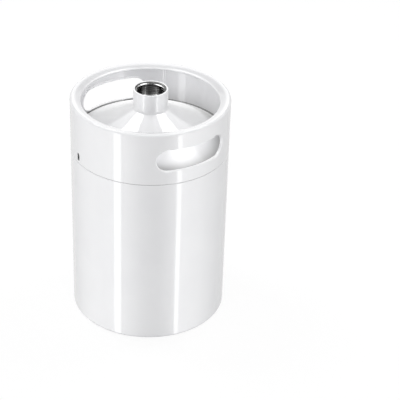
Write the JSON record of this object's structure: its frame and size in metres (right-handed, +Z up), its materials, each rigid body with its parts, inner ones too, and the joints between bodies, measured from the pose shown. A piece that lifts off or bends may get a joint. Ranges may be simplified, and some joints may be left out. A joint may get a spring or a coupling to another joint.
{
  "type": "mini keg",
  "caption": "Open steel mini keg, coated white: straight body, collar with hand holes and a turned-in rim, cone-shaped top and a threaded neck that takes a tap or cap.",
  "frame": {"origin": "centre of the foot ring, on the surface the keg stands on", "axes": "+Z up along the keg's own axis; the hand holes are on +X and -X and the drain slots near +Y and -Y"},
  "size_m": [0.175, 0.175, 0.27],
  "materials": {
    "white_coat": "gloss white coat over steel",
    "bare_steel": "bare stainless steel"
  },
  "bodies": {
    "root": {"body_shell": "white_coat", "collar": "white_coat", "girth_weld": "white_coat", "top_head": "white_coat", "neck": "white_coat", "neck_weld": "white_coat", "bottom_head": "white_coat", "top_head_weld": "bare_steel", "bottom_head_weld": "bare_steel", "shell_seam_weld": "bare_steel", "collar_seam_weld": "white_coat"}
  },
  "joints": []
}
